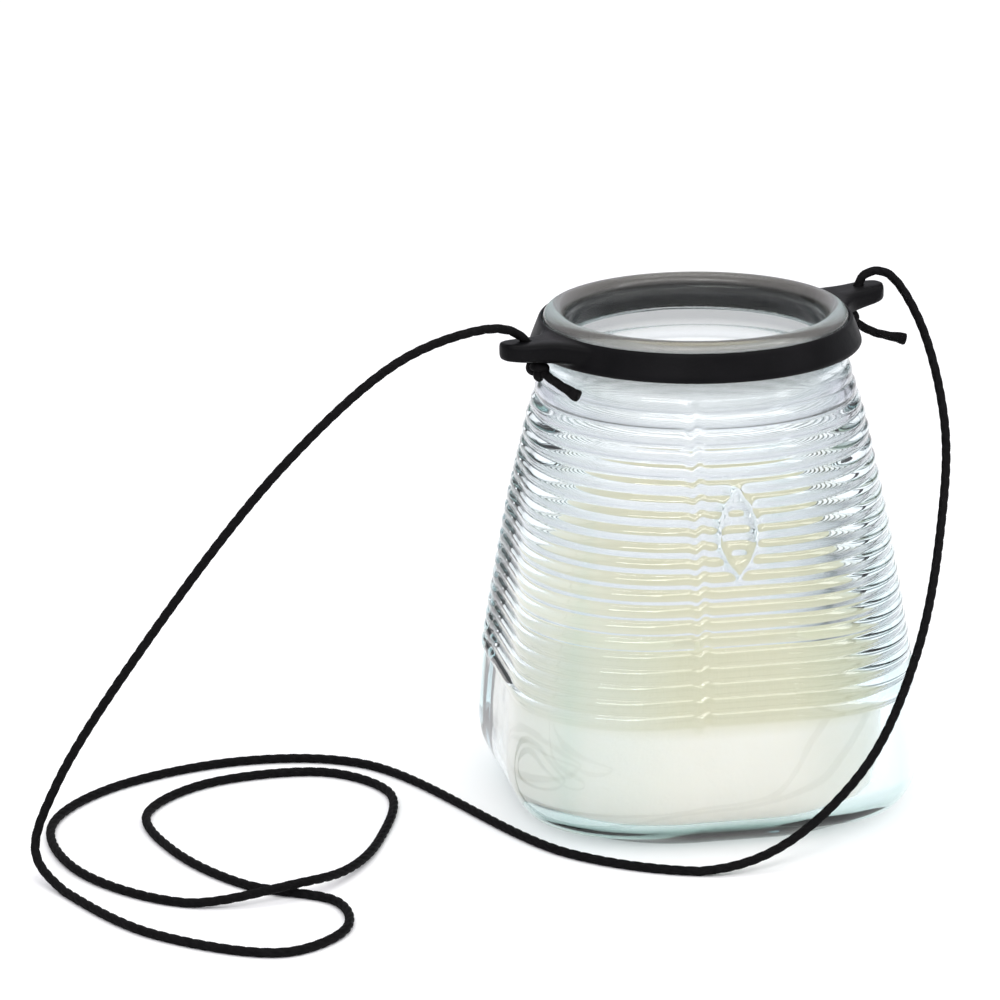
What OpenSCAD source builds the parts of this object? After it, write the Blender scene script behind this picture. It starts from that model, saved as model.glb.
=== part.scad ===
// Wasp trap: a ribbed glass jar with an open mouth and a lure filling. A rubber collar turns
// round its neck, and a thin cord is tied through the collar's two lugs to hang the jar up.
// The origin is the centre of the jar's base, +Z is up and -Y is the front of the jar.

/* [Jar] */
// Height of the jar from its base to the crest of its rim
jar_h = 134.5; // [132.5:0.5:138]
// Width of the jar across its flat sides, at its widest
jar_w = 110; // [108:0.5:110.5]
// Thickness of the glass in the sides
wall = 4.5; // [3.5:0.25:5]
// Thickness of the glass in the base
floor_t = 6; // [4:0.5:8]
// Radius of the rounded edge round the base
base_edge = 13; // [9:0.5:14]
// Share of the half width that the corner radius takes up, at the base
base_round = 0.6; // [0.5:0.05:0.8]

/* [Ribs] */
// Number of horizontal ribs
rib_count = 21; // [12:1:21]
// Height of one rib
rib_pitch = 4; // [3.6:0.1:4]
// How far a rib stands out of the glass
rib_depth = 0.8; // [0.3:0.1:1.2]
// Height of the lowest rib above the base
rib_start = 36; // [34:1:37]

/* [Neck] */
// Radius of the mouth
mouth_r = 34.5; // [33:0.25:35]
// Radius of the neck under the rim, where the collar sits
neck_r = 38.6; // [38:0.1:38.8]
// Outer radius of the rim
rim_r = 40.3; // [39.8:0.1:40.4]

/* [Filling] */
// Height of the filling's top above the jar's base
fill_top = 56; // [30:1:90]

/* [Collar] */
// Height of the rubber collar
collar_h = 7.8; // [7:0.1:8]
// Outer radius at the collar's top edge
collar_top_r = 41.4; // [41:0.1:42]
// Outer radius at the collar's bottom edge
collar_bottom_r = 43.9; // [43:0.1:45]
// Distance from the jar's axis to the tip of a lug
lug_reach = 60; // [58:0.5:60]
// Width of a lug at its tip
lug_w = 10; // [8:0.5:11]
// Angle of the lugs round the neck
lug_turn = 21; // [20:1:22]

/* [Cord] */
// Diameter of the cord
cord_d = 2.5; // [2:0.1:2.5]
// Number of sides of the cord's tube
cord_sides = 8; // [8:1:12]

/* [Hidden] */

// Side of the jar: share of the height, and share of the half width
FLANK = [[0, 0.955], [0.12, 1], [0.25, 0.98], [0.42, 0.927],
         [0.6, 0.873], [0.76, 0.815], [0.88, 0.733], [0.925, (neck_r + 0.6) / (jar_w / 2)]];
round_fn = 96;         // facets of a full turn: the neck and the band
small_fn = 48;         // holes and lug tips
knot_fn = 32;          // knots
corner_steps = 8;      // points round one corner, less one
edge_steps = 5;        // levels round the base's edge
rib_phases = 3;        // levels in one rib
plain_levels = [18, 26];    // levels of the plain glass between the base's edge and the ribs
round_share = 0.75;    // share of the height by which the corners have met
round_power = 2.6;     // how late they meet
full_round = 0.985;    // the roundest outline, which keeps a short flat
corner_glass = 0.9;    // how much rounder the hollow is than the outside, for thick corners
shoulder_z = jar_h - 10.3;  // flat ledge at the foot of the neck
cavity_top = jar_h - 16.5;  // where the cavity gives way to the mouth's bore
cavity_edge = 8;       // radius of the edge inside the base
cavity_step = 7;       // height between two levels of the cavity's side
fill_gap = 0.15;       // film between the filling and the glass
neck_root = jar_h - 18.5;   // the neck's solid starts here, inside the shoulder
crest_r = (rim_r + mouth_r) / 2;  // middle of the rim's rounded crest
crest_h = (rim_r - mouth_r) / 2;  // height of the crest, and half its width
crest_z = jar_h - crest_h;        // foot of the crest
crest_inner = crest_h + 0.3;  // the inside of the crest runs on a little under the bore
bead_slope = 1.6;      // height of the slope under the rim's bead
bead_edge = 1.2;       // height of the bead's straight edge
over = 1;              // how far cutters run past a face

collar_drop = 2.1;     // the rim's crest stands this far above the collar
collar_z = jar_h - collar_drop - collar_h;
collar_fit = 0.05;     // running clearance on the neck
bead_fit = 0.15;       // clearance round the bead
edge_cut = 0.7;        // bevel on the collar's edges
lug_root = 39.4;       // the lugs start inside the band
lug_root_w = 26;       // width of a lug where it leaves the band
lug_flare_r = 46;      // where the lug's flare ends
lug_flare_w = 12.4;    // width of a lug there
lug_trim = 0.3;        // the lugs end this far inside the band's inner face
lug_hole_r = 1.6;      // hole for the cord
lug_hole_l = 24;       // length of the cutter that makes it
lug_lean = 65;         // slope of the cord's hole from the horizontal
lug_foot = [50.2, 127];  // where that hole opens under the lug: radius and height
lug_side = [[39, 125.2], [46, 126.2], [60.5, 128.5], [60.5, 133], [46, 132.4], [39, 131.6]];

knot_r = 2.6;
knot_at = [49.1, 124.6];    // a knot's middle: distance from the axis and height
set_h = 134.5;         // height of jar that the lugs' heights and the cord's route are laid out for
steps = 2;             // rings from one route point to the next
lie = cord_d / 2;      // height of the cord's middle where it lies on the ground

// Route of the cord's middle: up through the left lug, over to the ground, round two loops
// that cross once, in front of the jar, and up again to the right lug
ROUTE = [
    [-46.9, -18, 127], [-49.3, -18.9, 132.6], [-54.4, -20.9, 136.3], [-64, -24.5, 137.3],
    [-84.5, -29, 131.5], [-115, -31, 106.5], [-152, -28.5, 60], [-175, -23, 22.5],
    [-181.5, -27, 7], [-176, -45, lie], [-157, -80, lie], [-127, -99, lie],
    [-110, -87, lie], [-109, -67, lie], [-130, -50, lie], [-145, -21, lie],
    [-148, 9, lie], [-129, 29, lie], [-97, 31, lie], [-82.5, 12, lie],
    [-91, -25, lie], [-104, -49, 2.5], [-118, -60, 4.2], [-146, -60, lie],
    [-170, -33, lie], [-174, 5, lie], [-155, 31, lie], [-117, 45, lie],
    [-86, 36, lie], [-44, -46, lie], [-14, -66, lie], [7, -66, 6],
    [31, -60.5, 24], [49, -44, 48], [62, -20, 75], [68, -1, 99],
    [64.5, 14, 124], [57.6, 21, 135], [51, 19.6, 135.2], [46.9, 18, 127]
];
// The cut ends of the cord, from the knots outwards
LEFT_TAIL = [[-45.8, -17.6, 124.6], [-42.5, -23, 122.4], [-35.8, -28, 118.8]];
RIGHT_TAIL = [[45.8, 17.6, 124.6], [49.5, 18, 121.8], [53.5, 17.8, 119.6], [61.9, 16.6, 117.5]];

// Half width of the jar at a height
function half_width(z) = jar_w / 2 * lookup(z / jar_h, FLANK);
// Share of the half width that the corner radius takes up, at a height
function roundness(z) =
    let (up = min(1, z / (round_share * jar_h)))
    min(full_round, base_round + (1 - base_round) * pow(up, round_power));
// The same for the hollow, where extra makes it rounder than the outside
function rounder(share, extra) = min(full_round, share * (1 + extra * (1 - share)));
// Outline of the jar at a height, moved inwards by inset
function ring(z, inset, extra = 0) =
    let (half = half_width(z), r = half * rounder(roundness(z), extra), c = half - r)
    [for (q = [0 : 3], i = [0 : corner_steps])
        let (a = 90 * q + 90 * i / corner_steps,
             sx = (q == 0 || q == 3) ? 1 : -1,
             sy = (q < 2) ? 1 : -1)
        [sx * c + (r - inset) * cos(a), sy * c + (r - inset) * sin(a), z]];
// The hollow's outline at a height, drawn at another height
function hollow(z, inset, drawn_z) =
    [for (p = ring(z, inset, corner_glass)) [p.x, p.y, drawn_z]];

function unit(v) = v / norm(v);
// A point on the smooth curve from p1 to p2, with knots spaced by the root of the distance
function on_curve(p0, p1, p2, p3, share) =
    let (t1 = sqrt(norm(p1 - p0)),
         t2 = t1 + sqrt(norm(p2 - p1)),
         t3 = t2 + sqrt(norm(p3 - p2)),
         t = t1 + (t2 - t1) * share,
         a1 = (t1 - t) / t1 * p0 + t / t1 * p1,
         a2 = (t2 - t) / (t2 - t1) * p1 + (t - t1) / (t2 - t1) * p2,
         a3 = (t3 - t) / (t3 - t2) * p2 + (t - t2) / (t3 - t2) * p3,
         b1 = (t2 - t) / t2 * a1 + t / t2 * a2,
         b2 = (t3 - t) / (t3 - t1) * a2 + (t - t1) / (t3 - t1) * a3)
    (t2 - t) / (t2 - t1) * b1 + (t - t1) / (t2 - t1) * b2;
// The smooth line through a route's points, nowhere lower than where the cord lies
function smooth(pts) =
    let (last = len(pts) - 1,
         all = concat([2 * pts[0] - pts[1]], pts, [2 * pts[last] - pts[last - 1]]))
    concat([for (i = [0 : last - 1], k = [0 : steps - 1])
               let (p = on_curve(all[i], all[i + 1], all[i + 2], all[i + 3], k / steps))
               [p.x, p.y, max(p.z, lie)]],
           [pts[last]]);
function tangents(line) =
    [for (i = [0 : len(line) - 1])
        unit(line[min(i + 1, len(line) - 1)] - line[max(i - 1, 0)])];
// Sideways directions carried along the tangents without twist
function carried(ts, side, i = 0) =
    i == len(ts) ? [] :
    let (s = unit(side - (side * ts[i]) * ts[i]))
    concat([s], carried(ts, s, i + 1));

// A closed solid skinned over rings that have the same number of points
module skin(rings) {
    n = len(rings[0]);
    top = (len(rings) - 1) * n;
    sides = [for (j = [0 : len(rings) - 2], i = [0 : n - 1])
        let (a = j * n + i, b = j * n + (i + 1) % n)
        each [[a, a + n, b + n], [a, b + n, b]]];
    polyhedron(
        points = [for (r = rings) each r],
        faces = concat(sides,
                       [[for (i = [0 : n - 1]) i]],
                       [[for (i = [0 : n - 1]) top + n - 1 - i]]));
}

// A round tube of the cord's thickness along a route
module tube(route) {
    line = smooth([for (p = route) [p.x, p.y, p.z * jar_h / set_h]]);
    ts = tangents(line);
    side = carried(ts, cross(ts[0], [0, 0, 1]));
    rings = [for (i = [0 : len(line) - 1])
        let (s = side[i], u = cross(ts[i], s))
        [for (k = [0 : cord_sides - 1])
            let (a = 360 * k / cord_sides)
            line[i] + lie * (cos(a) * s + sin(a) * u)]];
    skin(rings);
}

// The jar's outside, up to the ledge at the foot of the neck
module jar_outside() {
    edge = [for (i = [0 : edge_steps])
        let (a = 90 * i / edge_steps, z = base_edge * (1 - cos(a)))
        ring(z, base_edge * (1 - sin(a)))];
    plain = [for (z = plain_levels) ring(z, 0)];
    ribs = [for (n = [0 : rib_count - 1], k = [0 : rib_phases - 1])
        let (z = rib_start + rib_pitch * (n + k / rib_phases))
        ring(z, -rib_depth * sin(180 * k / rib_phases))];
    rib_end = rib_start + rib_pitch * rib_count;
    top = [for (z = [rib_end, (rib_end + shoulder_z) / 2, shoulder_z]) ring(z, 0)];
    skin(concat(edge, plain, ribs, top));
}

// The space inside the jar, up to top, kept gap away from the glass
module jar_inside(top, gap) {
    low = floor_t + gap;
    edge = [for (i = [0 : edge_steps - 1])
        let (a = 90 * i / edge_steps)
        hollow(low + cavity_edge, wall + gap + cavity_edge * (1 - sin(a)),
               low + cavity_edge * (1 - cos(a)))];
    foot = floor_t + cavity_edge;
    levels = [for (z = [foot + cavity_step : cavity_step : top - over]) z];
    side = [for (z = concat([low + cavity_edge], levels, [top])) hollow(z, wall + gap, z)];
    skin(concat(edge, side));
}

// The neck with the bead of its rim, as a plug that the mouth is bored through
module neck() {
    rotate_extrude($fn = round_fn)
        polygon(concat(
            [[0, neck_root],
             [neck_r, neck_root],
             [neck_r, crest_z - bead_edge - bead_slope],
             [rim_r, crest_z - bead_edge]],
            [for (a = [0 : 15 : 90]) [crest_r + crest_h * cos(a), crest_z + crest_h * sin(a)]],
            [for (a = [105 : 15 : 180])
                [crest_r + crest_inner * cos(a), crest_z + crest_h * sin(a)]],
            [[0, crest_z]]));
}

module glass_jar() {
    color([0.78, 0.88, 0.86, 0.45])
        difference() {
            union() {
                jar_outside();
                neck();
            }
            jar_inside(cavity_top, 0);
            translate([0, 0, cavity_top - over])
                cylinder(r = mouth_r, h = jar_h, $fn = round_fn);
        }
}

module bait_fill() {
    color([0.93, 0.93, 0.87])
        jar_inside(fill_top, fill_gap);
}

// Turns a part's X axis to one lug
module at_lug(right) {
    rotate([0, 0, right ? lug_turn : lug_turn + 180])
        children();
}

// A tongue that runs out from the band, narrowing to a round end
module lug() {
    tip = lug_reach - lug_w / 2;
    intersection() {
        translate([0, 0, collar_z - over])
            linear_extrude(height = collar_h + 3 * over)
                union() {
                    polygon([[lug_root, -lug_root_w / 2], [lug_flare_r, -lug_flare_w / 2],
                             [tip, -lug_w / 2], [tip, lug_w / 2],
                             [lug_flare_r, lug_flare_w / 2], [lug_root, lug_root_w / 2]]);
                    translate([tip, 0])
                        circle(r = lug_w / 2, $fn = small_fn);
                }
        translate([0, lug_root_w, 0])
            rotate([90, 0, 0])
                linear_extrude(height = 2 * lug_root_w)
                    polygon([for (p = lug_side) [p.x, p.y + jar_h - set_h]]);
    }
}

// The slanting hole that the cord runs up through
module cord_hole() {
    translate([lug_foot.x, 0, lug_foot.y + jar_h - set_h])
        rotate([0, 90 - lug_lean, 0])
            cylinder(r = lug_hole_r, h = lug_hole_l, center = true, $fn = small_fn);
}

module band() {
    inner = neck_r + collar_fit;
    lip = rim_r + bead_fit;
    slope_z = crest_z - bead_edge;
    top = collar_z + collar_h;
    rotate_extrude($fn = round_fn)
        polygon([[inner, collar_z],
                 [collar_bottom_r - edge_cut, collar_z],
                 [collar_bottom_r, collar_z + edge_cut],
                 [collar_top_r, top - edge_cut],
                 [collar_top_r - edge_cut / 2, top],
                 [lip, top],
                 [lip, slope_z - bead_fit],
                 [inner, slope_z - bead_slope - 2 * bead_fit]]);
}

module neck_collar() {
    color([0.09, 0.09, 0.1])
        difference() {
            union() {
                band();
                difference() {
                    union() {
                        at_lug(true) lug();
                        at_lug(false) lug();
                    }
                    translate([0, 0, collar_z - over])
                        cylinder(r = rim_r + bead_fit + lug_trim, h = 3 * collar_h, $fn = round_fn);
                }
            }
            at_lug(true) cord_hole();
            at_lug(false) cord_hole();
        }
}

module cord() {
    color([0.07, 0.07, 0.08])
        tube(ROUTE);
}

module knot() {
    color([0.07, 0.07, 0.08])
        translate([knot_at.x, 0, knot_at.y + jar_h - set_h])
            sphere(r = knot_r, $fn = knot_fn);
}

module left_knot() {
    at_lug(false) knot();
}

module right_knot() {
    at_lug(true) knot();
}

module left_tail() {
    color([0.07, 0.07, 0.08])
        tube(LEFT_TAIL);
}

module right_tail() {
    color([0.07, 0.07, 0.08])
        tube(RIGHT_TAIL);
}

glass_jar();
bait_fill();
neck_collar();
cord();
left_knot();
right_knot();
left_tail();
right_tail();
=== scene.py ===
"""Looks of the wasp trap: a ribbed glass jar with a lure filling, a rubber neck collar and a tied cord."""

import math

import bpy
import numpy as np
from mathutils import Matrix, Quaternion, Vector


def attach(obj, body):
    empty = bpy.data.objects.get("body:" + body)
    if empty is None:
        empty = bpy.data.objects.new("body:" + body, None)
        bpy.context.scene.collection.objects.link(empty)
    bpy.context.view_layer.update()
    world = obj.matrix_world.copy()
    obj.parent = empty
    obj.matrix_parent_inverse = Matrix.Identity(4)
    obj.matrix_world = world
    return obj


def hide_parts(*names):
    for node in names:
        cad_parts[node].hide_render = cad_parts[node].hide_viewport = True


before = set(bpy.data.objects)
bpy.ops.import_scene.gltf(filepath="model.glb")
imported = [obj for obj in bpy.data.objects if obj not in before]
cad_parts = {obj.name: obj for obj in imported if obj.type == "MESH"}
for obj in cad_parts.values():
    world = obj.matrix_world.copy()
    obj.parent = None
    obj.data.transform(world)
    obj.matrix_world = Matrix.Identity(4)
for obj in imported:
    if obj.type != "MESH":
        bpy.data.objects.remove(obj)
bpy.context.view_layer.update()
MM = 0.001
scene = bpy.context.scene

# ---------------------------------------------------------------- camera

AZIMUTH, ELEVATION = math.radians(-12.94), math.radians(16.96)
DISTANCE = 1.336  # from the camera to the middle of the jar
JAR_MIDDLE = Vector((0, 0, 0.0673))
PAN, TILT = math.radians(2.24), math.radians(0.57)  # turn the view off the jar, so that the cord shows


def make_camera():
    data = bpy.data.cameras.new("Camera")
    data.sensor_width = 36
    data.lens = 180
    data.clip_start = 0.05
    data.clip_end = 30
    cam = bpy.data.objects.new("Camera", data)
    scene.collection.objects.link(cam)
    flat = math.cos(ELEVATION)
    back = Vector((math.sin(AZIMUTH) * flat, -math.cos(AZIMUTH) * flat, math.sin(ELEVATION)))
    cam.location = JAR_MIDDLE + back * DISTANCE
    cam.rotation_mode = "QUATERNION"
    cam.rotation_quaternion = (
        (-back).to_track_quat("-Z", "Y") @ Quaternion((0, 1, 0), PAN) @ Quaternion((1, 0, 0), TILT)
    )
    scene.camera = cam


make_camera()

# ---------------------------------------------------------------- meshes


def add_mesh(name, points, faces, uv=None):
    """A smooth mesh object from points in millimetres, with an optional UV pair for each point."""
    mesh = bpy.data.meshes.new(name)
    mesh.from_pydata([tuple(p) for p in np.asarray(points) * MM], [], faces)
    if uv is not None:
        layer = mesh.uv_layers.new(name="UVMap")
        corner = np.empty(len(mesh.loops), int)
        mesh.loops.foreach_get("vertex_index", corner)
        layer.data.foreach_set("uv", np.asarray(uv, float)[corner].ravel())
    mesh.polygons.foreach_set("use_smooth", [True] * len(mesh.polygons))
    mesh.update()
    obj = bpy.data.objects.new(name, mesh)
    scene.collection.objects.link(obj)
    return obj


def skin(name, rings, uv=None, ends=True, loop=False):
    """A solid over rings of the same number of points, each turning left about the way it runs."""
    rings = np.asarray(rings, float)
    n, k = rings.shape[:2]
    index = np.arange(n * k).reshape(n, k)
    near = index if loop else index[:-1]
    far = np.roll(index, -1, axis=0) if loop else index[1:]
    quads = np.stack([near, np.roll(near, -1, 1), np.roll(far, -1, 1), far], -1)
    faces = quads.reshape(-1, 4).tolist()
    if ends and not loop:
        faces += [index[0][::-1].tolist(), index[-1].tolist()]
    return add_mesh(name, rings.reshape(-1, 3), faces, uv)


def put(obj, body, slot, material, *nodes):
    """Places a piece on its CAD body with its material and hides the CAD nodes it stands for; the slot is
    not used.
    """
    obj.data.materials.clear()
    obj.data.materials.append(material)
    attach(obj, body)
    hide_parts(*nodes)
    return obj


def settled(obj):
    """Puts the result of an object's modifiers into its mesh."""
    bpy.context.view_layer.update()
    mesh = bpy.data.meshes.new_from_object(obj.evaluated_get(bpy.context.evaluated_depsgraph_get()))
    obj.modifiers.clear()
    obj.data = mesh
    mesh.polygons.foreach_set("use_smooth", [True] * len(mesh.polygons))
    return obj


# ---------------------------------------------------------------- materials


class Nodes:
    """A small builder for a material's node tree. Lengths in it are metres."""

    def __init__(self, name):
        self.mat = bpy.data.materials.new(name)
        self.mat.use_nodes = True
        self.tree = self.mat.node_tree
        self.tree.nodes.clear()
        self.out = self.tree.nodes.new("ShaderNodeOutputMaterial")

    def add(self, kind, values=None, **settings):
        node = self.tree.nodes.new("ShaderNode" + kind)
        for key, value in settings.items():
            setattr(node, key, value)
        for key, value in (values or {}).items():
            if isinstance(value, bpy.types.NodeSocket):
                self.tree.links.new(value, node.inputs[key])
            else:
                node.inputs[key].default_value = value
        return node

    def surface(self, node, socket="Surface"):
        self.tree.links.new(node.outputs[0], self.out.inputs[socket])
        return self.mat

    def coordinates(self, kind="Object", scale=(1, 1, 1)):
        where = self.add("TexCoord").outputs[kind]
        return self.add("Mapping", {"Vector": where, "Scale": scale}).outputs[0]

    def noise(self, vector, scale, detail=3.0, rough=0.5):
        values = {"Vector": vector, "Scale": scale, "Detail": detail, "Roughness": rough}
        return self.add("TexNoise", values).outputs[0]

    def ramp(self, factor, low, high, stops=(0.3, 0.7)):
        node = self.add("ValToRGB", {"Fac": factor})
        for element, colour, at in zip(node.color_ramp.elements, (low, high), stops):
            element.color = (*colour, 1)
            element.position = at
        return node.outputs[0]

    def mix(self, factor, first, second):
        node = self.add("Mix", data_type="RGBA")
        for socket, value in ((node.inputs[0], factor), (node.inputs[6], first), (node.inputs[7], second)):
            if isinstance(value, bpy.types.NodeSocket):
                self.tree.links.new(value, socket)
            else:
                socket.default_value = value
        return node.outputs[2]

    def span(self, factor, low, high):
        return self.add("MapRange", {"Value": factor, "To Min": low, "To Max": high}).outputs[0]

    def rise(self, value, start, end, low=0.0, high=1.0):
        """From low, where the value is at start or before it, to high at end."""
        values = {"Value": value, "From Min": start, "From Max": end, "To Min": low, "To Max": high}
        return self.add("MapRange", values).outputs[0]

    def math(self, operation, first, second):
        return self.add("Math", {0: first, 1: second}, operation=operation).outputs[0]

    def bump(self, height, distance, strength=1.0, normal=None):
        values = {"Height": height, "Distance": distance, "Strength": strength}
        if normal is not None:
            values["Normal"] = normal
        return self.add("Bump", values).outputs[0]


def glass_material():
    """Clear glass that is greener in the foot and the corners, frosted on the rim, and greyed with painted
    shade on the bore of the mouth.
    """
    n = Nodes("clear_glass")
    place = n.coordinates()
    height = n.add("SeparateXYZ", {"Vector": place}).outputs["Z"]
    rim = n.rise(height, 0.1312, 0.1328)
    shoulder = n.rise(height, 0.106, 0.118)

    foot = n.rise(height, 0.0, 0.0075)
    tone = n.ramp(foot, (0.36, 0.68, 0.57), (0.995, 0.992, 1.0), (0.0, 1.0))
    # the corners are where both sideways distances are a large share of the jar's half width
    away = n.add("VectorMath", {0: place}, operation="ABSOLUTE").outputs[0]
    sides = n.add("SeparateXYZ", {"Vector": away})
    least = n.math("MINIMUM", sides.outputs["X"], sides.outputs["Y"])
    half = n.span(height, 0.0585, -0.0715)
    corner = n.rise(n.math("DIVIDE", least, half), 0.72, 0.82)
    tone = n.mix(corner, tone, (0.84, 0.94, 0.925, 1))
    neck = n.rise(height, 0.113, 0.119)
    tone = n.mix(neck, tone, (0.97, 0.97, 0.975, 1))
    flat = n.add("Mapping", {"Vector": place, "Scale": (1, 1, 0)}).outputs[0]
    out = n.add("VectorMath", {0: flat}, operation="LENGTH").outputs["Value"]
    # painted shade: the glass of the mouth's bore is greyed so that it reads dark
    mouth_shade = n.math("MULTIPLY", n.rise(out, 0.0362, 0.0356), n.rise(height, 0.115, 0.1225))
    tone = n.mix(mouth_shade, tone, (0.22, 0.22, 0.218, 1))
    tone = n.mix(rim, tone, (0.56, 0.53, 0.48, 1))

    body = n.add(
        "BsdfPrincipled",
        {
            "Base Color": tone,
            "Roughness": n.span(rim, n.span(shoulder, 0.02, 0.13), 0.22),
            "IOR": 1.5,
            "Transmission Weight": n.span(rim, 1.0, 0.86),
            "Normal": n.bump(n.noise(place, 60, 1.5), 0.0004, 0.3),
        },
    )
    # lamps shine through to what is in the jar
    path = n.add("LightPath")
    lamps = n.math("MAXIMUM", path.outputs["Is Shadow Ray"], path.outputs["Is Diffuse Ray"])
    clear = n.add("BsdfTransparent", {"Color": (0.97, 0.97, 0.97, 1)})
    n.surface(n.add("MixShader", {0: lamps, 1: body.outputs[0], 2: clear.outputs[0]}))
    n.surface(n.add("VolumeAbsorption", {"Color": (0.54, 0.8, 0.83, 1), "Density": 20.0}), "Volume")
    return n.mat


def bait_material():
    """A waxy cream filling, with painted shade where it stands behind the ribs, weakest at the left."""
    n = Nodes("cream_bait")
    place = n.coordinates()
    tone = n.ramp(n.noise(place, 45, 4.0), (0.79, 0.75, 0.645), (0.83, 0.79, 0.69))
    at = n.add("SeparateXYZ", {"Vector": place})
    # painted shade: a darker olive tone behind the ribs, fading towards the left
    up = n.rise(at.outputs["Z"], 0.031, 0.037, 0.0, 0.85)
    side = n.rise(at.outputs["X"], -0.045, -0.015, 0.3)
    tone = n.mix(n.math("MULTIPLY", up, side), tone, (0.60, 0.56, 0.36, 1))
    pits = n.bump(n.noise(place, 160, 4.0), 0.0006, 0.5)
    return n.surface(
        n.add(
            "BsdfPrincipled",
            {
                "Base Color": tone,
                "Roughness": n.span(n.noise(place, 120), 0.42, 0.62),
                "Subsurface Weight": 0.25,
                "Subsurface Radius": (0.006, 0.005, 0.004),
                "Subsurface Scale": 1.0,
                "Normal": n.bump(n.noise(place, 900, 3.0), 0.00015, 0.4, pits),
            },
        )
    )


def rubber_material():
    """Satin black rubber with a fine grain and a few shallow dents."""
    n = Nodes("black_rubber")
    place = n.coordinates()
    tone = n.ramp(n.noise(place, 70, 4.0), (0.003, 0.003, 0.0034), (0.0065, 0.0062, 0.007))
    dents = n.bump(n.noise(place, 110, 2.0), 0.0004, 0.35)
    return n.surface(
        n.add(
            "BsdfPrincipled",
            {
                "Base Color": tone,
                "Roughness": n.span(n.noise(place, 200, 4.0), 0.3, 0.55),
                "Specular IOR Level": 0.06,
                "Normal": n.bump(n.noise(place, 1800, 2.0), 0.00008, 0.5, dents),
            },
        )
    )


def cord_material():
    """Waxed black cord, whose fibres run along its strands."""
    n = Nodes("waxed_cord")
    fibre = n.noise(n.coordinates("UV", (26, 1.2, 1)), 1.0, 3.0)
    place = n.coordinates()
    tone = n.ramp(n.noise(place, 900, 3.0), (0.002, 0.0019, 0.0022), (0.006, 0.0055, 0.006))
    return n.surface(
        n.add(
            "BsdfPrincipled",
            {
                "Base Color": tone,
                "Roughness": n.span(fibre, 0.5, 0.8),
                "Specular IOR Level": 0.07,
                "Normal": n.bump(fibre, 0.00012, 0.7),
            },
        )
    )


GLASS = glass_material()
BAIT = bait_material()
RUBBER = rubber_material()
CORD = cord_material()

# ---------------------------------------------------------------- cord

CORD_R = 1.25
LAY = 11.0  # length in which a strand goes once round
STRANDS = 3
GROOVE = 0.16  # depth of the grooves between the strands, as a share of the radius
LIE = CORD_R  # height of the cord's middle where it lies on the ground
ROUTE = [
    (-46.9, -18, 127), (-49.3, -18.9, 132.6), (-54.4, -20.9, 136.3), (-64, -24.5, 137.3),
    (-84.5, -29, 131.5), (-115, -31, 106.5), (-152, -28.5, 60), (-175, -23, 22.5),
    (-181.5, -27, 7), (-176, -45, LIE), (-157, -80, LIE), (-127, -99, LIE),
    (-110, -87, LIE), (-109, -67, LIE), (-130, -50, LIE), (-145, -21, LIE),
    (-148, 9, LIE), (-129, 29, LIE), (-97, 31, LIE), (-82.5, 12, LIE),
    (-91, -25, LIE), (-104, -49, 2.5), (-118, -60, 4.2), (-146, -60, LIE),
    (-170, -33, LIE), (-174, 5, LIE), (-155, 31, LIE), (-117, 45, LIE),
    (-86, 36, LIE), (-44, -46, LIE), (-14, -66, LIE), (7, -66, 6),
    (31, -60.5, 24), (49, -44, 48), (62, -20, 75), (68, -1, 99),
    (64.5, 14, 124), (57.6, 21, 135), (51, 19.6, 135.2), (46.9, 18, 127),
]  # fmt: skip
LEFT_TAIL = [(-45.8, -17.6, 124.6), (-42.5, -23, 122.4), (-37.2, -27.6, 119.2)]
RIGHT_TAIL = [(45.8, 17.6, 124.6), (49.5, 18, 121.8), (53.5, 17.8, 119.6), (61.9, 16.6, 117.5)]
FLARE, FLARE_LENGTH = 0.42, 3.0  # how far a cut end spreads, as a share of the radius, and over what length
KNOT_AT = (49.1, 124.6)  # distance from the axis and height
KNOT_SIZE = 0.8  # size of the trefoil that a knot follows
KNOT_CORD_R = 1.3
KNOT_LEAN = math.radians(-18)  # the knot leans with the cord's hole
LUG_TURN = math.radians(21)


def smooth_line(points, spacing):
    """Points at even distances along the smooth curve through the route, nowhere lower than LIE."""
    p = np.array(points, float)
    p = np.vstack([2 * p[0] - p[1], p, 2 * p[-1] - p[-2]])
    line = []
    for a, b, c, d in zip(p, p[1:], p[2:], p[3:]):
        t1 = np.linalg.norm(b - a) ** 0.5
        t2 = t1 + np.linalg.norm(c - b) ** 0.5
        t3 = t2 + np.linalg.norm(d - c) ** 0.5
        t = np.linspace(t1, t2, 40, endpoint=False)[:, None]
        a1 = (t1 - t) / t1 * a + t / t1 * b
        a2 = (t2 - t) / (t2 - t1) * b + (t - t1) / (t2 - t1) * c
        a3 = (t3 - t) / (t3 - t2) * c + (t - t2) / (t3 - t2) * d
        b1 = (t2 - t) / t2 * a1 + t / t2 * a2
        b2 = (t3 - t) / (t3 - t1) * a2 + (t - t1) / (t3 - t1) * a3
        line.append((t2 - t) / (t2 - t1) * b1 + (t - t1) / (t2 - t1) * b2)
    line = np.vstack([*line, p[-2:-1]])
    line[:, 2] = np.maximum(line[:, 2], LIE)
    return evenly(line, spacing)


def evenly(line, spacing):
    """The same line with its points at even distances."""
    along = np.r_[0, np.cumsum(np.linalg.norm(np.diff(line, axis=0), axis=1))]
    at = np.linspace(0, along[-1], max(3, round(along[-1] / spacing) + 1))
    return np.stack([np.interp(at, along, line[:, i]) for i in range(3)], 1)


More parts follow.
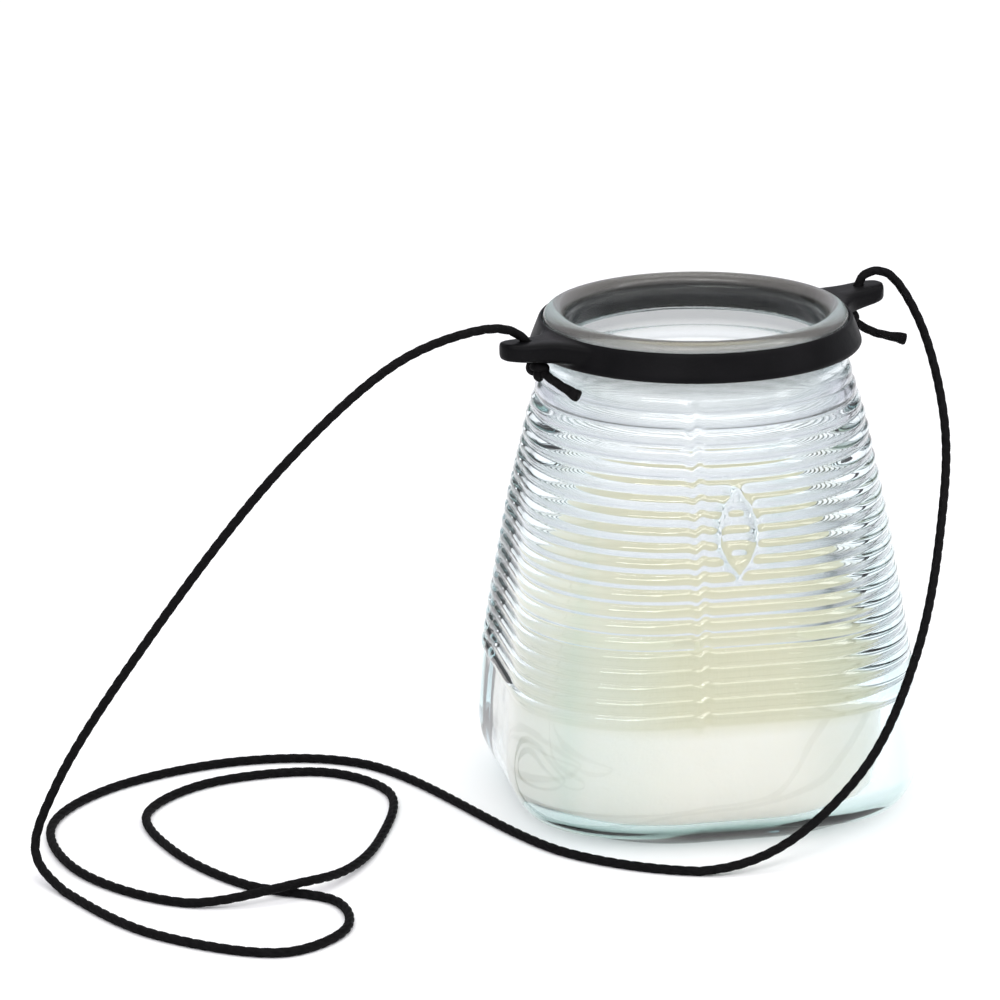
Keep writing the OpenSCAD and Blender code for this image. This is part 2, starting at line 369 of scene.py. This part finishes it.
def strand_tube(name, line, radius=CORD_R, sides=18, swell=None, loop=False):
    """A cord of twisted strands along a line; swell scales its radius at each point."""
    if loop:
        way = np.roll(line, -1, 0) - np.roll(line, 1, 0)
    else:
        way = np.gradient(line, axis=0)
    way /= np.linalg.norm(way, axis=1)[:, None]
    side = np.cross(way[0], (0.0, 0.0, 1.0))
    if np.linalg.norm(side) < 0.1:
        side = np.cross(way[0], (1.0, 0.0, 0.0))
    sides_of = []
    for t in way:
        side = side - side.dot(t) * t
        side /= np.linalg.norm(side)
        sides_of.append(side)
    across = np.array(sides_of)
    up = np.cross(way, across)
    gap = np.linalg.norm(np.diff(line, axis=0), axis=1)
    along = np.r_[0, np.cumsum(gap)]
    turn = 2 * math.pi * np.arange(sides) / sides
    lobe = np.abs(np.cos(STRANDS / 2 * turn)) ** 0.6
    reach = radius * (1 - GROOVE + GROOVE * lobe)[None, :]
    if swell is not None:
        reach = reach * swell[:, None]
    spin = turn[None, :] + 2 * math.pi * along[:, None] / LAY
    rings = line[:, None] + reach[..., None] * (
        np.cos(spin)[..., None] * across[:, None] + np.sin(spin)[..., None] * up[:, None]
    )
    uv = np.stack(np.broadcast_arrays((turn / (2 * math.pi))[None, :], along[:, None] / 3), -1)
    return skin(name, rings, uv.reshape(-1, 2), loop=loop)


def turned(point, angle):
    """A point turned about the jar's axis."""
    x, y, z = point
    return (x * math.cos(angle) - y * math.sin(angle), x * math.sin(angle) + y * math.cos(angle), z)


def make_knot(name, angle):
    """A tight overhand knot under a lug: a trefoil of the same cord, drawn up until it presses on itself."""
    t = np.linspace(0, 2 * math.pi, 150, endpoint=False)
    # the knot's flat side faces out from the jar
    out = -1.5 * np.sin(3 * t) * KNOT_SIZE * 0.9
    across = (np.sin(t) + 2 * np.sin(2 * t)) * KNOT_SIZE
    up = (np.cos(t) - 2 * np.cos(2 * t)) * KNOT_SIZE * 0.88
    x = KNOT_AT[0] + (out * math.cos(KNOT_LEAN) - up * math.sin(KNOT_LEAN))
    z = KNOT_AT[1] + (out * math.sin(KNOT_LEAN) + up * math.cos(KNOT_LEAN))
    line = np.array([turned(point, angle) for point in zip(x, across, z)])
    return strand_tube(name, line, KNOT_CORD_R, 14, loop=True)


def make_tail(name, route):
    """A cut end of the cord, a little flared at the cut."""
    line = smooth_line(route, 0.5)
    left = np.linalg.norm(line - line[-1], axis=1)
    swell = 1 + FLARE * np.exp(-((left / FLARE_LENGTH) ** 2))
    swell[-1] *= 0.86
    return strand_tube(name, line, CORD_R * 0.98, 18, swell)


cord_line = smooth_line(ROUTE, 0.75)
cord = put(strand_tube("hanging_cord", cord_line), "collar", "cord", CORD, "cord")
knots = [
    put(make_knot("knot_left", LUG_TURN + math.pi), "collar", "cord", CORD, "left_knot"),
    put(make_knot("knot_right", LUG_TURN), "collar", "cord", CORD, "right_knot"),
]
tails = [
    put(make_tail("cut_end_left", LEFT_TAIL), "collar", "cord", CORD, "left_tail"),
    put(make_tail("cut_end_right", RIGHT_TAIL), "collar", "cord", CORD, "right_tail"),
]

# ---------------------------------------------------------------- collar

LUG_REACH = 60.0  # from the jar's axis to the tip of a lug
LUG_ROUND = 5.0  # radius of its round end, and half its width
LUG_END = LUG_REACH - LUG_ROUND  # where the round end starts
HOLE_R = 1.45
HOLE_AT = (50.2, 127)  # where a hole opens under its lug: distance from the axis and height
HOLE_LEAN = math.radians(65)
VOXEL = 0.4


def make_band():
    """The collar's ring, open in the middle, with soft edges."""
    profile = [
        (38.6, 124.7), (39.3, 124.6), (43.2, 124.6), (43.8, 125.1), (43.75, 125.8),
        (41.5, 131.6), (41.1, 132.3), (40.9, 132.4), (40.6, 132.3), (40.5, 130.4), (38.6, 128.4),
    ]  # fmt: skip
    turn = np.linspace(0, 2 * math.pi, 240, endpoint=False)
    rings = [[(r * math.cos(a), -r * math.sin(a), z) for r, z in profile] for a in turn]
    return skin("band", rings, loop=True)


def squared(share, power):
    return np.sign(share) * np.abs(share) ** power


def make_lug(name, angle):
    """A tongue from the band to its round end, as rounded sections across its length."""
    tip = LUG_END + LUG_ROUND * np.sin(np.linspace(0.08, 1, 14) * math.pi / 2)
    turn = np.linspace(0, 2 * math.pi, 40, endpoint=False)
    rings = []
    for r in np.concatenate([np.linspace(39.9, LUG_END, 34), tip]):
        wide = LUG_ROUND + 8.5 * math.exp(-((max(r - 39.6, 0) / 4.4) ** 1.25))
        end = 1.0
        if r > LUG_END:
            end = math.sqrt(max(1 - ((r - LUG_END) / LUG_ROUND) ** 2, 0.0))
            wide = LUG_ROUND * max(end, 0.12)
        low = np.interp(r, (39, 46, 60.5), (125.4, 126.3, 128.5))
        high = np.interp(r, (39, 46, 60.5), (131.5, 132.3, 133.0))
        mid = (low + high) / 2
        half = (high - low) / 2 * (0.55 + 0.45 * min(1.0, end * 2.2))
        y = wide * squared(np.cos(turn), 0.45)
        z = mid + half * squared(np.sin(turn), 0.5)
        rings.append([turned((r, a, b), angle) for a, b in zip(y, z)])
    return skin(name, rings)


def make_hole(name, angle):
    """The cutter of the slanting hole that the cord runs through."""
    turn = np.linspace(0, 2 * math.pi, 32, endpoint=False)
    along = np.array([math.cos(HOLE_LEAN), 0, math.sin(HOLE_LEAN)])
    over = np.array([math.sin(HOLE_LEAN), 0, -math.cos(HOLE_LEAN)])
    side = np.array([0, 1, 0])
    rings = []
    for s in np.linspace(-9, 12, 4):
        middle = np.array([HOLE_AT[0], 0, HOLE_AT[1]]) + s * along
        ring = [middle + HOLE_R * (math.cos(a) * over + math.sin(a) * side) for a in turn]
        rings.append([turned(p, angle) for p in ring])
    return skin(name, rings)


def make_collar():
    """The band and both lugs melted into one soft moulding, with the cord's holes cut through."""
    parts = [make_band(), make_lug("lug", LUG_TURN), make_lug("lug2", LUG_TURN + math.pi)]
    points, faces = [], []
    for part in parts:
        base = len(points)
        points += [v.co[:] for v in part.data.vertices]
        faces += [[base + i for i in f.vertices] for f in part.data.polygons]
        bpy.data.objects.remove(part)
    collar = add_mesh("rubber_collar", np.array(points) / MM, faces)
    remesh = collar.modifiers.new("remesh", "REMESH")
    remesh.mode = "VOXEL"
    remesh.voxel_size = VOXEL * MM
    soften = collar.modifiers.new("soften", "SMOOTH")
    soften.factor = 0.5
    soften.iterations = 7
    settled(collar)
    cutters = [make_hole("hole", LUG_TURN), make_hole("hole2", LUG_TURN + math.pi)]
    for cutter in cutters:
        cut = collar.modifiers.new("cut", "BOOLEAN")
        cut.operation = "DIFFERENCE"
        cut.solver = "EXACT"
        cut.object = cutter
    settled(collar)
    for cutter in cutters:
        bpy.data.objects.remove(cutter)
    return collar


put(make_collar(), "collar", "rubber", RUBBER, "neck_collar")

# ---------------------------------------------------------------- jar

JAR_H, JAR_W = 134.5, 110.0
WALL, FLOOR_T = 4.5, 6.0
BASE_EDGE = 13.0  # radius of the edge round the base
INNER_EDGE = 8.0  # radius of the edge inside it
# the side of the jar, as heights and half widths
FLANK_Z = np.array([0, 0.12, 0.25, 0.42, 0.6, 0.76, 0.88, 0.925]) * JAR_H
FLANK_W = np.array([0.955, 1, 0.98, 0.927, 0.873, 0.815, 0.733, 39.2 / 55]) * JAR_W / 2
NECK_R, MOUTH_R = 38.6, 34.5
MOUTH_FOOT = 120.0  # height at which the mouth's bore starts to widen into the hollow
RIM_R, RIM_Z, RIM_ROUND = 37.4, 131.6, 2.9  # the middle and the radius of the rim's round section
RIB_START, RIB_PITCH, RIB_COUNT, RIB_DEPTH = 36.0, 4.0, 21, 1.0
RIB_END = RIB_START + RIB_PITCH * RIB_COUNT
SEAM_FRONT, SEAM_LEFT = -10.0, 16.0  # where the mould's halves met: x on the front, y on the left face
MARK_Z, MARK_HIGH, MARK_WIDE = 86.5, 10.8, 4.7  # middle, half height and half width of the raised leaf
MARK_BAND, MARK_DEPTH = 1.35, 1.9  # width and depth of its outline
FILL_TOP = 56.0
FILL_GAP = 0.15  # film between the filling and the glass
ROUNDER_INSET = 3.0  # outlines inset by more are rounder: in the hollow, but low on the foot too
CORNER_GLASS = 0.9  # how much rounder they are, which makes the corners' glass thick


def columns():
    """Angles of the jar's columns, closer together across the middle of the front, where its leaf is."""
    fine = np.linspace(-15, 15, 84)
    rest = np.linspace(15, 345, 256)[1:-1]
    return np.radians(np.concatenate([fine, rest]) - 90)


TURN = columns()


def half_width(z):
    """Half the jar's width at each height, as a smooth curve past the flank's points."""
    steps = np.linspace(-2.4, 2.4, 13)
    share = np.exp(-steps * steps / 2)
    near = np.interp(np.asarray(z)[..., None] + 2.2 * steps, FLANK_Z, FLANK_W)
    return (near * share).sum(-1) / share.sum()


def roundness(z):
    """Share of the half width that the corners' radius takes up at a height."""
    up = np.minimum(1, np.asarray(z) / (0.75 * JAR_H))
    return np.minimum(0.985, 0.6 + 0.4 * up**2.6)


def outline(z, inset):
    """Distance from the axis to the rounded square outline at a height, in each of the jar's directions."""
    half = float(half_width(z))
    corner = half * float(roundness(z))
    if inset > ROUNDER_INSET:
        share = float(roundness(z))
        corner = half * min(0.985, share * (1 + CORNER_GLASS * (1 - share)))
    centre = half - corner
    x, y = np.abs(np.cos(TURN)), np.abs(np.sin(TURN))
    big, small = np.maximum(x, y), np.minimum(x, y)
    flat = (half - inset) / big
    along = centre * (x + y)
    arc = along + np.sqrt(np.maximum(along**2 - 2 * centre**2 + (corner - inset) ** 2, 0))
    return np.where(flat * small <= centre, flat, arc)


def ring(reach, z):
    """Points at a distance from the axis, in each of the jar's directions."""
    reach = np.broadcast_to(reach, TURN.shape)
    return np.stack([reach * np.cos(TURN), reach * np.sin(TURN), np.broadcast_to(z, TURN.shape)], 1)


def seam_shift(points):
    """How far the ribs step up or down where the mould's halves met, on the front and on the left face."""
    x, y = points[:, 0], points[:, 1]
    front = (x - SEAM_FRONT) / 1.5
    left = (y - SEAM_LEFT) / 1.8
    shift = np.where(y < -20, 1.3 * front * np.exp(-(front**2)), 0)
    return shift + np.where(x < -20, 1.2 * left * np.exp(-(left**2)), 0)


def mark(x, z):
    """Share of the raised leaf outline on the jar's front that stands at a point."""
    v = (z - MARK_Z) / MARK_HIGH
    off = (np.abs(x) - MARK_WIDE * (1 - v * v)) / math.hypot(1, 0.9 * v)
    return np.exp(-((off / MARK_BAND) ** 2))


def rib_ring(z):
    """The outside at a height among the ribs."""
    base = ring(outline(z, 0), z)
    phase = (z - seam_shift(base) - RIB_START) / RIB_PITCH
    share = np.where((phase > 0) & (phase < RIB_COUNT), np.abs(np.sin(math.pi * phase)) ** 0.8, 0)
    leaf = np.where(base[:, 1] < -20, mark(base[:, 0], z), 0)
    depth = RIB_DEPTH * blend(1, 0.6, (z - 104) / 14)
    return ring(outline(z, 0) + depth * share * (1 - leaf) + MARK_DEPTH * leaf, z)


def arc_steps(n):
    return np.radians(np.linspace(0, 90, n))


def blend(a, b, t):
    """From a to b, smoothly, as t goes from 0 to 1."""
    t = min(max(t, 0), 1)
    t = t * t * (3 - 2 * t)
    return a * (1 - t) + b * t


def make_glass():
    """The jar as one closed shell: up its outside, over the rim and down into the hollow."""
    rings = []
    # under the base, from its middle out to the foot
    for share in (0.02, 0.3, 0.6, 0.85, 0.95):
        rings.append(ring(outline(0, BASE_EDGE + 1) * share, 1.6 * (1 - share**2)))
    # round the base's edge, up the plain glass and the ribs
    for a in arc_steps(11):
        rise = BASE_EDGE * (1 - math.cos(a))
        rings.append(ring(outline(rise, BASE_EDGE * (1 - math.sin(a))), rise))
    for z in np.linspace(15, RIB_START - 0.4, 9):
        rings.append(ring(outline(z, 0), z))
    for z in np.arange(RIB_START, RIB_END + 0.1, 0.5):
        rings.append(rib_ring(z))
    for z in np.linspace(RIB_END + 1, 124.0, 7):
        rings.append(ring(outline(z, 0), z))
    # the neck and the slope under the rim's bead
    for r, z in ((NECK_R + 0.25, 124.5), (NECK_R, 125.2), (NECK_R, 127), (NECK_R, 128.6)):
        rings.append(ring(r, z))
    for r, z in ((39.0, 129.2), (39.9, 130.1), (40.25, 130.7)):
        rings.append(ring(r, z))
    for a in np.radians(np.linspace(0, 180, 15)):
        rings.append(ring(RIM_R + RIM_ROUND * math.cos(a), RIM_Z + RIM_ROUND * math.sin(a)))
    # down the mouth and into the hollow
    for z in np.linspace(130, MOUTH_FOOT, 6):
        rings.append(ring(MOUTH_R, z))
    for z in np.concatenate([np.linspace(119.6, 105, 32), np.linspace(103, 15, 20)]):
        inner = outline(z, WALL)
        rings.append(ring(blend(MOUTH_R, inner, (MOUTH_FOOT - z) / 12), z))
    foot = FLOOR_T + INNER_EDGE
    for a in arc_steps(9)[::-1]:
        low = FLOOR_T + INNER_EDGE * (1 - math.cos(a))
        rings.append(ring(outline(foot, WALL + INNER_EDGE * (1 - math.sin(a))), low))
    for share in (0.8, 0.45, 0.02):
        rings.append(ring(outline(foot, BASE_EDGE) * share, FLOOR_T))
    return skin("ribbed_jar", rings)


def make_bait():
    """The filling, a hair's breadth clear of the glass, with its top drawn up a little round the edge."""
    floor = FLOOR_T + FILL_GAP
    wall = WALL + FILL_GAP
    foot = FLOOR_T + INNER_EDGE
    rings = [ring(outline(foot, BASE_EDGE) * share, floor) for share in (0.02, 0.6)]
    for a in arc_steps(9):
        low = floor + INNER_EDGE * (1 - math.cos(a))
        rings.append(ring(outline(foot, wall + INNER_EDGE * (1 - math.sin(a))), low))
    for z in np.concatenate([np.linspace(16.5, FILL_TOP - 1.5, 17), [FILL_TOP + 0.2]]):
        rings.append(ring(outline(z, wall), z))
    edge = outline(FILL_TOP, wall)
    for inset in (0.7, 1.6, 3, 5, 8, 12, 18, 24, 30, 36, 41, 44.5):
        climb = 0.55 * math.exp(-inset / 1.3)
        reach = edge * (1 - inset / 46)
        waves = np.sin(reach * np.cos(TURN) / 7 + 1) * np.cos(reach * np.sin(TURN) / 9)
        swell = 0.14 * waves * min(1, inset / 6)
        rings.append(ring(reach, FILL_TOP - 0.35 + climb + swell))
    return skin("cream_filling", rings)


put(make_glass(), "jar", "glass", GLASS, "glass_jar")
put(make_bait(), "jar", "bait", BAIT, "bait_fill")

# ---------------------------------------------------------------- stage and light


def floor_material():
    """A plain pale floor with hardly any shine."""
    n = Nodes("pale_floor")
    place = n.coordinates()
    tone = n.ramp(n.noise(place, 6, 2.0), (0.93, 0.93, 0.93), (0.95, 0.95, 0.95))
    values = {"Base Color": tone, "Roughness": 0.9, "Specular IOR Level": 0.1}
    return n.surface(n.add("BsdfPrincipled", values))


def make_stage():
    far = 4000
    corners = [(-far, -far, 0), (far, -far, 0), (far, far, 0), (-far, far, 0)]
    floor = add_mesh("floor", corners, [(0, 1, 2, 3)])
    floor.data.materials.append(floor_material())


def make_light(name, at, size, power, aim=(0, 0, 0.07)):
    """A soft lamp turned to the middle of the jar."""
    data = bpy.data.lights.new(name, "AREA")
    data.shape = "RECTANGLE"
    data.size, data.size_y = size
    data.energy = power
    light = bpy.data.objects.new(name, data)
    light.location = at
    light.rotation_mode = "QUATERNION"
    light.rotation_quaternion = (Vector(aim) - Vector(at)).to_track_quat("-Z", "Y")
    scene.collection.objects.link(light)


def make_world():
    """Even studio light: a dark horizon, which draws the glass's edges, under a pale sky."""
    world = bpy.data.worlds.new("World")
    world.use_nodes = True
    sky = world.node_tree
    back = sky.nodes["Background"]
    split = sky.nodes.new("ShaderNodeSeparateXYZ")
    sky.links.new(sky.nodes.new("ShaderNodeTexCoord").outputs["Generated"], split.inputs[0])
    ramp = sky.nodes.new("ShaderNodeValToRGB")
    sky.links.new(split.outputs["Z"], ramp.inputs[0])
    bands = (*ramp.color_ramp.elements, ramp.color_ramp.elements.new(0.3))
    colours = ((0.28, 0.33, 0.33, 1), (1.0, 1.0, 1.0, 1), (0.77, 0.75, 0.83, 1))
    for band, height, colour in zip(bands, (0.02, 0.75, 0.24), colours):
        band.position = height
        band.color = colour
    sky.links.new(ramp.outputs[0], back.inputs[0])
    back.inputs[1].default_value = 1.02
    scene.world = world


make_stage()
make_light("key", (-0.9, -1.3, 1.5), (1.3, 0.22), 9)
make_light("fill", (1.5, -0.9, 1.3), (0.35, 0.9), 5)
make_light("top", (0.1, 0.5, 2.2), (1.6, 1.2), 8)
make_light("front", (0.35, -1.5, 1.9), (2.4, 0.45), 14)
make_world()
scene.view_settings.view_transform = "Standard"
scene.view_settings.look = "None"
